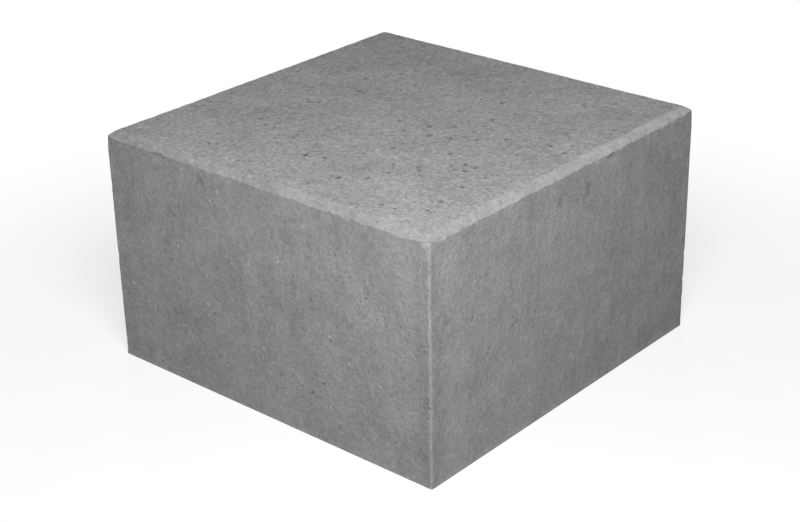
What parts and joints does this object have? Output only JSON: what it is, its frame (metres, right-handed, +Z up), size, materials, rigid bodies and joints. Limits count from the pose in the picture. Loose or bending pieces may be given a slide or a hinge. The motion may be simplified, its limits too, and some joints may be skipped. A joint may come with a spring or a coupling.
{
  "type": "concrete step block",
  "caption": "Square solid concrete step block with a chamfered tread edge, laid in rows and courses to build a garden stair.",
  "frame": {"origin": "middle of the underside, where the block rests on its bed", "axes": "+Z up through the tread, -Y and +X out of the two show faces that meet at the front corner"},
  "size_m": [0.3, 0.3, 0.18],
  "materials": {
    "concrete": "matte"
  },
  "bodies": {
    "root": {"step_block": "concrete"}
  },
  "joints": []
}
